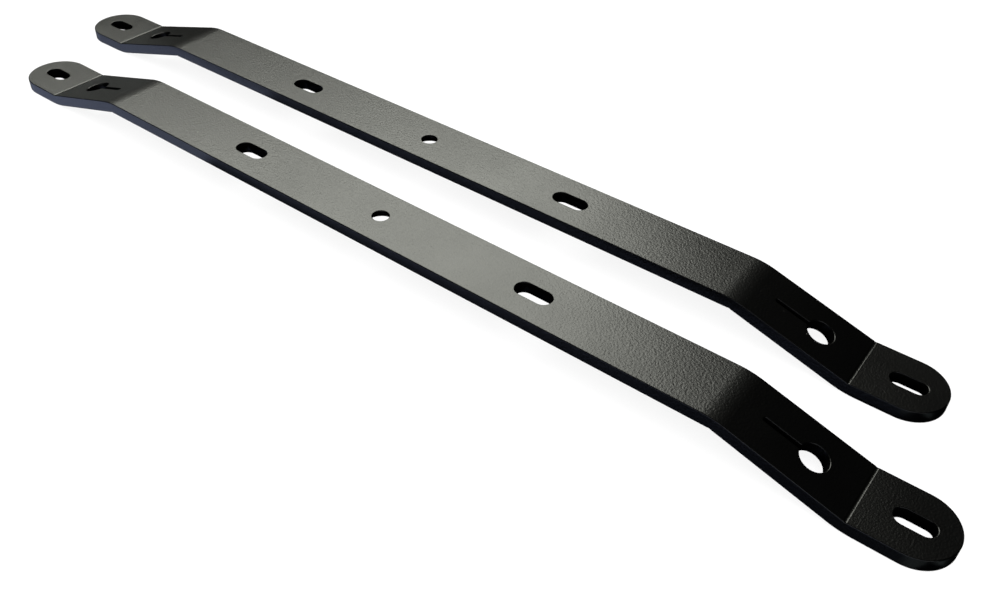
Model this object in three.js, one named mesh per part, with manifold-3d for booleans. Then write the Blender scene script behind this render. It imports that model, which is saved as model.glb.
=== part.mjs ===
// Pair of bed cargo bars: two identical flat steel bars, each one piece, laser cut, press braked into
// a shallow hat shape and powder coated black. The raised middle carries the load, a ramp at each end
// steps down to a foot tab, and the foot tab is bolted to the bed floor through its slot.
// Units are millimetres. +X runs along the bars, +Y across them, +Z up. The feet stand on Z = 0.

import * as THREE from 'three';
import { mergeVertices } from 'three/addons/utils/BufferGeometryUtils.js';
import Module from 'manifold-3d';

// Flat bar stock, 2 in by 3/8 in.
const BAR_LENGTH = 853;
const BAR_WIDTH = 50.8;
const BAR_THICKNESS = 9.525;

// Press-brake bends, placed by where the straight top faces would meet.
const STEP_HEIGHT = 25;
const UPPER_BEND_X = 282.5;
const LOWER_BEND_X = 369;
const OUTER_BEND_RADIUS = 60;

// Shallow groove that the tip of the press-brake punch leaves on the inside of each bend.
const PUNCH_TIP_RADIUS = 2.5;
const PUNCH_MARK_DEPTH = 0.15;

// Slots in the raised middle, for straps and hooks.
const DECK_SLOT_X = 136.2;
const DECK_SLOT_LENGTH = 28.6;
const DECK_SLOT_WIDTH = 13.5;

// Centre hole, countersunk from below for a flat-head bolt.
const CENTRE_HOLE_DIAMETER = 12.5;
const COUNTERSINK_DIAMETER = 25;

// Keyhole in each ramp: a round hole with a narrow slot that runs up the ramp. Distances run down the
// ramp from the upper bend line.
const KEYHOLE_CENTRE_DOWN_RAMP = 58;
const KEYHOLE_DIAMETER = 19.5;
const KEYHOLE_SLOT_START_DOWN_RAMP = 22;
const KEYHOLE_SLOT_WIDTH = 3.5;

// Bolt slot in each foot tab.
const FOOT_SLOT_X = 400.5;
const FOOT_SLOT_LENGTH = 25;
const FOOT_SLOT_WIDTH = 12.5;

// How the two loose bars lie beside each other.
const REAR_OFFSET_X = -41;
const REAR_OFFSET_Y = 102.7;
const REAR_TURN_DEGREES = 0.45;

// Facets on the round parts, each counted along its own arc.
const BEND_FACETS = 6;
const SLOT_END_FACETS = 14;
const BAR_END_FACETS = 28;
const HOLE_FACETS = 40;
const PUNCH_TIP_FACETS = 72;

// Extra length on cutting shapes, so that no face of a cutter lies on a face of the bar.
const OVERCUT = 5;

const HALF_LENGTH = BAR_LENGTH / 2;
const FOOT_TOP_Z = BAR_THICKNESS;
const DECK_TOP_Z = BAR_THICKNESS + STEP_HEIGHT;
const RAMP_ANGLE = Math.atan2(STEP_HEIGHT, LOWER_BEND_X - UPPER_BEND_X);

// How far the bend lines of the underside lie inboard of those of the top.
const BEND_SHIFT = BAR_THICKNESS * Math.tan(RAMP_ANGLE / 2);

const wasm = await Module();
wasm.setup();

// ---- Solids -------------------------------------------------------------------------------------

function toSolid(geometry) {
  const bare = geometry.clone();
  bare.deleteAttribute('normal');
  bare.deleteAttribute('uv');
  const welded = mergeVertices(bare);
  return new wasm.Manifold(new wasm.Mesh({
    numProp: 3,
    vertProperties: new Float32Array(welded.attributes.position.array),
    triVerts: new Uint32Array(welded.index.array),
  }));
}

function toGeometry(solid) {
  const mesh = solid.getMesh();
  const geometry = new THREE.BufferGeometry();
  geometry.setAttribute('position', new THREE.BufferAttribute(mesh.vertProperties, 3));
  geometry.setIndex(new THREE.BufferAttribute(mesh.triVerts, 1));
  geometry.computeVertexNormals();
  return geometry;
}

// A flat outline in X and Y made into a block that is centred on Z = 0. An arc of a shape is drawn
// with twice as many facets as curveSegments.
function prism(shape, height, facetsPerArc) {
  const curveSegments = facetsPerArc / 2;
  const geometry = new THREE.ExtrudeGeometry(shape, { depth: height, bevelEnabled: false, curveSegments });
  geometry.translate(0, 0, -height / 2);
  return geometry;
}

// ---- Outlines -----------------------------------------------------------------------------------

// Long round-ended outline, centred, along X.
function roundEndedOutline(length, width) {
  const radius = width / 2;
  const reach = length / 2 - radius;
  const shape = new THREE.Shape();
  shape.moveTo(-reach, -radius);
  shape.lineTo(reach, -radius);
  shape.absarc(reach, 0, radius, -Math.PI / 2, Math.PI / 2, false);
  shape.lineTo(-reach, radius);
  shape.absarc(-reach, 0, radius, Math.PI / 2, 3 * Math.PI / 2, false);
  return shape;
}

// Keyhole outline around the centre of its round hole. The slot runs towards -X.
function keyholeOutline() {
  const radius = KEYHOLE_DIAMETER / 2;
  const halfSlot = KEYHOLE_SLOT_WIDTH / 2;
  const mouthAngle = Math.asin(halfSlot / radius);
  const slotEndX = KEYHOLE_SLOT_START_DOWN_RAMP - KEYHOLE_CENTRE_DOWN_RAMP + halfSlot;
  const shape = new THREE.Shape();
  shape.absarc(0, 0, radius, Math.PI + mouthAngle, 3 * Math.PI - mouthAngle, false);
  shape.absarc(slotEndX, 0, halfSlot, Math.PI / 2, 3 * Math.PI / 2, false);
  return shape;
}

// Adds a corner to a side outline, rounded to a radius that is tangent to both of its edges.
function addBend(shape, before, corner, after, radius) {
  const toBefore = before.clone().sub(corner).normalize();
  const toAfter = after.clone().sub(corner).normalize();
  const halfCorner = Math.acos(toBefore.dot(toAfter)) / 2;
  const tangentLength = radius / Math.tan(halfCorner);
  const start = corner.clone().addScaledVector(toBefore, tangentLength);
  const toCentre = toBefore.clone().add(toAfter).normalize();
  const centre = corner.clone().addScaledVector(toCentre, radius / Math.sin(halfCorner));
  const startAngle = Math.atan2(start.y - centre.y, start.x - centre.x);
  const turn = toBefore.cross(toAfter);
  const sweep = (Math.PI - 2 * halfCorner) * (turn < 0 ? 1 : -1);
  for (let step = 0; step <= BEND_FACETS; step += 1) {
    const angle = startAngle + sweep * step / BEND_FACETS;
    shape.lineTo(centre.x + radius * Math.cos(angle), centre.y + radius * Math.sin(angle));
  }
}

// Side outline of the bent bar, in X and Z, longer than the bar so that the plan outline trims it.
function sideOutline() {
  const endX = HALF_LENGTH + OVERCUT;
  const corners = [
    { x: -endX, z: 0 },
    { x: -LOWER_BEND_X + BEND_SHIFT, z: 0, radius: OUTER_BEND_RADIUS },
    { x: -UPPER_BEND_X + BEND_SHIFT, z: STEP_HEIGHT },
    { x: UPPER_BEND_X - BEND_SHIFT, z: STEP_HEIGHT },
    { x: LOWER_BEND_X - BEND_SHIFT, z: 0, radius: OUTER_BEND_RADIUS },
    { x: endX, z: 0 },
    { x: endX, z: FOOT_TOP_Z },
    { x: LOWER_BEND_X, z: FOOT_TOP_Z },
    { x: UPPER_BEND_X, z: DECK_TOP_Z, radius: OUTER_BEND_RADIUS },
    { x: -UPPER_BEND_X, z: DECK_TOP_Z, radius: OUTER_BEND_RADIUS },
    { x: -LOWER_BEND_X, z: FOOT_TOP_Z },
    { x: -endX, z: FOOT_TOP_Z },
  ];
  const points = corners.map(({ x, z }) => new THREE.Vector2(x, z));
  const shape = new THREE.Shape();
  shape.moveTo(points[0].x, points[0].y);
  for (let index = 1; index < corners.length; index += 1) {
    const { radius } = corners[index];
    if (radius) {
      addBend(shape, points[index - 1], points[index], points[(index + 1) % points.length], radius);
    } else {
      shape.lineTo(points[index].x, points[index].y);
    }
  }
  return shape;
}

// ---- Bar ----------------------------------------------------------------------------------------

// The bent strip, trimmed to the plan outline with its two half-round ends.
function bentStrip() {
  const strip = prism(sideOutline(), BAR_WIDTH + 2 * OVERCUT, BEND_FACETS);
  strip.rotateX(Math.PI / 2);
  const plan = prism(roundEndedOutline(BAR_LENGTH, BAR_WIDTH), 2 * DECK_TOP_Z + 2 * OVERCUT, BAR_END_FACETS);
  return toSolid(strip).intersect(toSolid(plan));
}

// A straight slot through level plate whose top face is at topZ.
function slotCutter(length, width, x, topZ) {
  const height = BAR_THICKNESS + 2 * OVERCUT;
  const cutter = prism(roundEndedOutline(length, width), height, SLOT_END_FACETS);
  cutter.translate(x, 0, topZ - BAR_THICKNESS / 2);
  return toSolid(cutter);
}

// Hole along Z with a 90 degree countersink that opens downwards at the underside of the deck.
function countersunkCutter() {
  const holeRadius = CENTRE_HOLE_DIAMETER / 2;
  const coneHeight = COUNTERSINK_DIAMETER / 2 - holeRadius + OVERCUT;
  const cone = new THREE.CylinderGeometry(holeRadius, holeRadius + coneHeight, coneHeight, HOLE_FACETS);
  cone.rotateX(Math.PI / 2);
  cone.translate(0, 0, STEP_HEIGHT - OVERCUT + coneHeight / 2);
  const height = BAR_THICKNESS + 2 * OVERCUT;
  const hole = new THREE.CylinderGeometry(holeRadius, holeRadius, height, HOLE_FACETS);
  hole.rotateX(Math.PI / 2);
  hole.translate(0, 0, STEP_HEIGHT + BAR_THICKNESS / 2);
  return toSolid(hole).add(toSolid(cone));
}

// Keyhole square to the ramp on one side: side is 1 at +X and -1 at -X.
function keyholeCutter(side) {
  const height = BAR_THICKNESS + 2 * OVERCUT;
  const cutter = prism(keyholeOutline(), height, HOLE_FACETS);
  cutter.translate(KEYHOLE_CENTRE_DOWN_RAMP, 0, -BAR_THICKNESS / 2);
  cutter.rotateY(RAMP_ANGLE);
  cutter.translate(UPPER_BEND_X, 0, DECK_TOP_Z);
  if (side < 0) {
    cutter.rotateZ(Math.PI);
  }
  return toSolid(cutter);
}

// The punch tip where it has pressed into the inside of a bend: above the lower bend, or below the
// upper bend, on one side of the bar.
function punchMarkCutter(side, isLowerBend) {
  const facing = isLowerBend ? 1 : -1;
  const bendX = isLowerBend ? LOWER_BEND_X : UPPER_BEND_X - BEND_SHIFT;
  const bendZ = isLowerBend ? FOOT_TOP_Z : STEP_HEIGHT;
  const standOff = facing * (PUNCH_TIP_RADIUS - PUNCH_MARK_DEPTH);
  const centreX = bendX + standOff * Math.sin(RAMP_ANGLE / 2);
  const centreZ = bendZ + standOff * Math.cos(RAMP_ANGLE / 2);
  const length = BAR_WIDTH + 2 * OVERCUT;
  const cutter = new THREE.CylinderGeometry(PUNCH_TIP_RADIUS, PUNCH_TIP_RADIUS, length, PUNCH_TIP_FACETS);
  cutter.translate(side * centreX, 0, centreZ);
  return toSolid(cutter);
}

function barSolid() {
  let bar = bentStrip().subtract(countersunkCutter());
  for (const side of [-1, 1]) {
    bar = bar.subtract(slotCutter(DECK_SLOT_LENGTH, DECK_SLOT_WIDTH, side * DECK_SLOT_X, DECK_TOP_Z));
    bar = bar.subtract(slotCutter(FOOT_SLOT_LENGTH, FOOT_SLOT_WIDTH, side * FOOT_SLOT_X, FOOT_TOP_Z));
    bar = bar.subtract(keyholeCutter(side));
    bar = bar.subtract(punchMarkCutter(side, true));
    bar = bar.subtract(punchMarkCutter(side, false));
  }
  return bar;
}

// ---- Assembly -----------------------------------------------------------------------------------

const powderCoat = new THREE.MeshStandardMaterial({ color: 0x17181a, roughness: 0.55, metalness: 0.0 });

const barGeometry = toGeometry(barSolid());

const frontBar = new THREE.Mesh(barGeometry, powderCoat);
frontBar.name = 'front_bar';

const rearBar = new THREE.Mesh(barGeometry.clone(), powderCoat.clone());
rearBar.name = 'rear_bar';
rearBar.position.set(REAR_OFFSET_X, REAR_OFFSET_Y, 0);
rearBar.rotation.z = THREE.MathUtils.degToRad(REAR_TURN_DEGREES);

const group = new THREE.Group();
group.add(frontBar, rearBar);

// The pair is centred over the origin, with the feet on Z = 0.
const bounds = new THREE.Box3().setFromObject(group, true);
const middle = bounds.getCenter(new THREE.Vector3());
frontBar.position.sub(new THREE.Vector3(middle.x, middle.y, 0));
rearBar.position.sub(new THREE.Vector3(middle.x, middle.y, 0));

export default group;
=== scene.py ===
"""Looks for a pair of bed cargo bars: bent flat steel in a black, finely textured powder coat.

The bars are the CAD nodes themselves. They get rounded edges and a procedural coating here, and
they stand on a pale studio floor. Lengths are in metres.
"""

import math

import bpy
from mathutils import Matrix, Vector


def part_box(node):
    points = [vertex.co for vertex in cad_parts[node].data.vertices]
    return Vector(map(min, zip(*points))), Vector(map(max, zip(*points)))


# CAD nodes and the names of their coats.
BAR_COATS = {"front_bar": "front_powder_coat", "rear_bar": "rear_powder_coat"}
BLACK = (0, 0, 0, 1)
WHITE = (1, 1, 1, 1)

# Camera. The lens and the sensor's width are in millimetres.
CAMERA_PLACE = Vector((0.42586, -0.46803, 0.45101))
CAMERA_AIM = Vector((0.13287, -0.05764, 0.020))
CAMERA_ROLL = math.radians(2.546)
CAMERA_LENS = 35.233
CAMERA_SENSOR = 36.0

# Edge rounding. Faces that meet at more than SHARP_ANGLE get a rounded edge. Corners closer than
# WELD_DISTANCE become one, and so do neighbouring faces within FLAT_ANGLE of each other.
EDGE_RADIUS = 0.0007
EDGE_SEGMENTS = 3
SHARP_ANGLE = math.radians(32)
FLAT_ANGLE = math.radians(0.2)
WELD_DISTANCE = 0.00001

# Floor and backdrop. The shades are black sheets just below the floor: one under each bar, and
# one along the front of its raised middle, SHADED_DECK long and SHADE_REACH wide.
FLOOR_SIZE = 12.0
FLOOR_GAP = 0.0004
FLOOR_ALBEDO = 0.86
BACKDROP_LEVEL = 0.9
SHADE_DEPTH = 2.5 * FLOOR_GAP
SHADED_DECK = 0.40
SHADE_REACH = 0.038

# Softboxes that shine on the bars only, and face the middle of the pair. Azimuth runs from +Y
# towards -X, elevation is above the floor, both in degrees. Radiance is that of the lit face.
BAR_LIGHTS = {
    "window": dict(azimuth=50.5, elevation=46.7, distance=2.6, width=2.2, height=1.51,
                   radiance=6.2, colour=(0.985, 1.0, 0.905)),
    "bounce": dict(azimuth=150, elevation=-26, distance=1.5, width=6.6, height=0.44,
                   radiance=1.05, colour=(0.60, 0.69, 1.0)),
    "end_bounce": dict(azimuth=-115, elevation=-40, distance=1.5, width=1.6, height=0.7,
                       radiance=0.17, colour=(0.85, 1.0, 0.98)),
    "low_wall": dict(azimuth=80, elevation=2, distance=2.6, width=1.5, height=0.5,
                     radiance=0.22, colour=(0.95, 1.0, 0.95)),
    "fill": dict(azimuth=-148, elevation=16, distance=2.6, width=4.4, height=1.1,
                 radiance=1.1, colour=(0.95, 0.97, 1.0)),
}

# Softbox that shines on the floor only, where it gives the bars their faint shadow.
OVERHEAD_PLACE = Vector((0.2, -0.4, 3.0))
OVERHEAD = dict(width=5.0, height=5.0, radiance=0.6, colour=(1, 1, 1))

# Powder coat.
COAT_COLOUR = (0.002, 0.002, 0.0022, 1)
COAT_IOR = 1.5
GRAIN_CELLS_PER_METRE = 740
GRAIN_DETAIL = 1
GRAIN_HEIGHT = 0.000145

# Patches of slightly uneven gloss. This range of the noise is spread over the range of roughness.
PATCHES_PER_METRE = 22
PATCH_DETAIL = 3
PATCH_NOISE_RANGE = (0.3, 0.7)
ROUGHNESS_RANGE = (0.28, 0.32)

# Painted glints: pale specks painted into the coat's colour, where they stand in for glints of light
# on the grain. Their sizes are parts of a cell. A cell has a speck when its random draw is above
# SPECK_DRAW and its point lies close to the surface.
SPECK_CELLS_PER_METRE = 60
SPECK_SIZE = 0.03
SPECK_CORE = 0.6 * SPECK_SIZE
SPECK_DRAW = (0.45, 0.46)
PAINTED_GLINT_COLOUR = (0.42, 0.42, 0.40, 1)


def look_at(place, aim, roll=0.0):
    """World matrix of a camera or a light that looks from place to aim."""
    turn = (aim - place).to_track_quat("-Z", "Y").to_matrix().to_4x4()
    return Matrix.Translation(place) @ turn @ Matrix.Rotation(roll, 4, "Z")


def add_object(name, data):
    """New object in the scene's own collection."""
    item = bpy.data.objects.new(name, data)
    bpy.context.scene.collection.objects.link(item)
    return item


def add_camera():
    """Camera in front of the pair and to its right, above the bars and rolled a little."""
    data = bpy.data.cameras.new("camera")
    data.lens = CAMERA_LENS
    data.sensor_width = CAMERA_SENSOR
    camera = add_object("camera", data)
    camera.matrix_world = look_at(CAMERA_PLACE, CAMERA_AIM, CAMERA_ROLL)
    bpy.context.scene.camera = camera


def direction(azimuth, elevation):
    """Unit vector at degrees from +Y towards -X, and degrees above the floor."""
    turn = math.radians(azimuth)
    rise = math.radians(elevation)
    return Vector((-math.sin(turn) * math.cos(rise), math.cos(turn) * math.cos(rise), math.sin(rise)))


def add_softbox(name, place, width, height, radiance, colour):
    """Rectangular light that faces the middle of the pair, with the brightness of its face."""
    data = bpy.data.lights.new(name, "AREA")
    data.shape = "RECTANGLE"
    data.size = width
    data.size_y = height
    data.energy = radiance * math.pi * width * height
    data.color = colour
    light = add_object(name, data)
    light.matrix_world = look_at(place, Vector((0, 0, 0)))
    return light


def add_bar_light(name, azimuth, elevation, distance, **box):
    """Softbox at a direction and distance from the middle of the pair."""
    return add_softbox(name, direction(azimuth, elevation) * distance, **box)


def add_floor_sun():
    """Even light for the whole floor, which leaves only the overhead softbox to cast shadows."""
    data = bpy.data.lights.new("floor_sun", "SUN")
    data.energy = BACKDROP_LEVEL * math.pi / FLOOR_ALBEDO
    data.use_shadow = False
    return add_object("floor_sun", data)


def light_only(light, objects):
    """Keep a light off everything except these objects."""
    lit = bpy.data.collections.new("lit_by_" + light.name)
    for item in objects:
        lit.objects.link(item)
    light.light_linking.receiver_collection = lit


def add_lights(floor, bars):
    """Lights for the bars alone and lights for the floor alone."""
    for name, box in BAR_LIGHTS.items():
        light_only(add_bar_light(name, **box), bars)
    overhead = add_softbox("overhead", OVERHEAD_PLACE, **OVERHEAD)
    for light in (overhead, add_floor_sun()):
        light_only(light, [floor])


def add_world():
    """White backdrop that only the camera sees, so that it puts no light on the bars."""
    world = bpy.data.worlds.new("studio")
    world.use_nodes = True
    background = world.node_tree.nodes["Background"]
    background.inputs["Color"].default_value = WHITE
    background.inputs["Strength"].default_value = BACKDROP_LEVEL
    world.cycles_visibility.diffuse = False
    world.cycles_visibility.glossy = False
    bpy.context.scene.world = world


def add_sheet(name, low, high, height, colour):
    """Level matt rectangle between two corners, part of the studio."""
    mesh = bpy.data.meshes.new(name)
    corners = [(low[0], low[1], height), (high[0], low[1], height)]
    corners += [(high[0], high[1], height), (low[0], high[1], height)]
    mesh.from_pydata(corners, [], [(0, 1, 2, 3)])
    sheet = add_object(name, mesh)
    material = bpy.data.materials.new(name)
    material.use_nodes = True
    shader = material.node_tree.nodes["Principled BSDF"]
    shader.inputs["Base Color"].default_value = colour
    shader.inputs["Roughness"].default_value = 1.0
    shader.inputs["Specular IOR Level"].default_value = 0.0
    mesh.materials.append(material)
    return sheet


def add_floor():
    """Pale floor that isn't mirrored in the bars and lets the light from below through."""
    half = FLOOR_SIZE / 2
    colour = (FLOOR_ALBEDO, FLOOR_ALBEDO, FLOOR_ALBEDO, 1)
    floor = add_sheet("floor", (-half, -half), (half, half), -FLOOR_GAP, colour)
    floor.visible_diffuse = False
    floor.visible_glossy = False
    floor.visible_shadow = False
    return floor


def add_shades(bar):
    """Black sheets below the floor that keep the bounce light out of a bar's holes."""
    low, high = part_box(bar)
    add_sheet(bar + "_shade", low, high, -SHADE_DEPTH, BLACK)
    middle = (low[0] + high[0]) / 2
    near_corner = (middle - SHADED_DECK / 2, low[1] - SHADE_REACH)
    far_corner = (middle + SHADED_DECK / 2, low[1])
    add_sheet(bar + "_deck_shade", near_corner, far_corner, -SHADE_DEPTH, BLACK)


class Nodes:
    """Shorthand for adding and linking shader nodes."""

    def __init__(self, tree):
        self.tree = tree

    def add(self, kind, **values):
        node = self.tree.nodes.new(kind)
        for name, value in values.items():
            setattr(node, name, value)
        return node

    def link(self, output, target):
        self.tree.links.new(output, target)

    def noise(self, vector, scale, detail):
        """Smooth random value from 0 to 1 at each place."""
        node = self.add("ShaderNodeTexNoise")
        self.link(vector, node.inputs["Vector"])
        node.inputs["Scale"].default_value = scale
        node.inputs["Detail"].default_value = detail
        return node.outputs["Fac"]

    def ramp(self, value, low, high, low_to=0.0, high_to=1.0):
        """Value stretched from one range to another, and held at its ends."""
        node = self.add("ShaderNodeMapRange", clamp=True)
        self.link(value, node.inputs["Value"])
        node.inputs["From Min"].default_value = low
        node.inputs["From Max"].default_value = high
        node.inputs["To Min"].default_value = low_to
        node.inputs["To Max"].default_value = high_to
        return node.outputs["Result"]


def coat_with_painted_glints(nodes, place):
    """Black coat with a few pale specks painted in as glints of light."""
    cells = nodes.add("ShaderNodeTexVoronoi")
    nodes.link(place, cells.inputs["Vector"])
    cells.inputs["Scale"].default_value = SPECK_CELLS_PER_METRE
    near_point = nodes.ramp(cells.outputs["Distance"], SPECK_CORE, SPECK_SIZE, 1.0, 0.0)
    draw = nodes.add("ShaderNodeSeparateColor")
    nodes.link(cells.outputs["Color"], draw.inputs["Color"])
    chosen = nodes.ramp(draw.outputs["Red"], *SPECK_DRAW)
    painted_glint_mask = nodes.add("ShaderNodeMath", operation="MULTIPLY")
    nodes.link(near_point, painted_glint_mask.inputs[0])
    nodes.link(chosen, painted_glint_mask.inputs[1])
    # Pale specks painted into the base colour as glints of light.
    colour = nodes.add("ShaderNodeMix", data_type="RGBA")
    nodes.link(painted_glint_mask.outputs["Value"], colour.inputs["Factor"])
    colour.inputs["A"].default_value = COAT_COLOUR
    colour.inputs["B"].default_value = PAINTED_GLINT_COLOUR
    return colour.outputs["Result"]


def powder_coat(name):
    """Satin black coat with a fine orange-peel grain, uneven gloss and a few painted glint specks."""
    material = bpy.data.materials.new(name)
    material.use_nodes = True
    nodes = Nodes(material.node_tree)
    shader = material.node_tree.nodes["Principled BSDF"]
    place = nodes.add("ShaderNodeTexCoord").outputs["Object"]
    bump = nodes.add("ShaderNodeBump")
    bump.inputs["Strength"].default_value = 1.0
    bump.inputs["Distance"].default_value = GRAIN_HEIGHT
    nodes.link(nodes.noise(place, GRAIN_CELLS_PER_METRE, GRAIN_DETAIL), bump.inputs["Height"])
    nodes.link(bump.outputs["Normal"], shader.inputs["Normal"])
    uneven = nodes.noise(place, PATCHES_PER_METRE, PATCH_DETAIL)
    roughness = nodes.ramp(uneven, *PATCH_NOISE_RANGE, *ROUGHNESS_RANGE)
    nodes.link(roughness, shader.inputs["Roughness"])
    nodes.link(coat_with_painted_glints(nodes, place), shader.inputs["Base Color"])
    shader.inputs["IOR"].default_value = COAT_IOR
    return material


def round_edges(bar):
    """Join the CAD triangles, merge the flat ones and round every sharp edge inwards."""
    join = bar.modifiers.new("join_triangles", "WELD")
    join.merge_threshold = WELD_DISTANCE
    flatten = bar.modifiers.new("merge_flat_faces", "DECIMATE")
    flatten.decimate_type = "DISSOLVE"
    flatten.angle_limit = FLAT_ANGLE
    bevel = bar.modifiers.new("rounded_edges", "BEVEL")
    bevel.width = EDGE_RADIUS
    bevel.segments = EDGE_SEGMENTS
    bevel.limit_method = "ANGLE"
    bevel.angle_limit = SHARP_ANGLE
    bevel.use_clamp_overlap = False
    weighted = bar.modifiers.new("flat_face_shading", "WEIGHTED_NORMAL")
    weighted.keep_sharp = True
    bar.data.shade_smooth()


def finish_bar(bar, material):
    """Coat a bar and round its edges."""
    bar.data.materials.clear()
    bar.data.materials.append(material)
    round_edges(bar)


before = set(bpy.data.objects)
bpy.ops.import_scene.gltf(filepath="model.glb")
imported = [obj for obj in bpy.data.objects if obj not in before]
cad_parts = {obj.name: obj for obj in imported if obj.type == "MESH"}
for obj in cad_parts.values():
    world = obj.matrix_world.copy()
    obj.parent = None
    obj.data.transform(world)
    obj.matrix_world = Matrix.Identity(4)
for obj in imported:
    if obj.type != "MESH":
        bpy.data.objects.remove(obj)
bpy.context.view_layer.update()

add_camera()
add_world()
bars = [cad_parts[name] for name in BAR_COATS]
add_lights(add_floor(), bars)
for name, coat in BAR_COATS.items():
    add_shades(name)
    finish_bar(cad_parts[name], powder_coat(coat))

bpy.context.scene.view_settings.view_transform = "Standard"
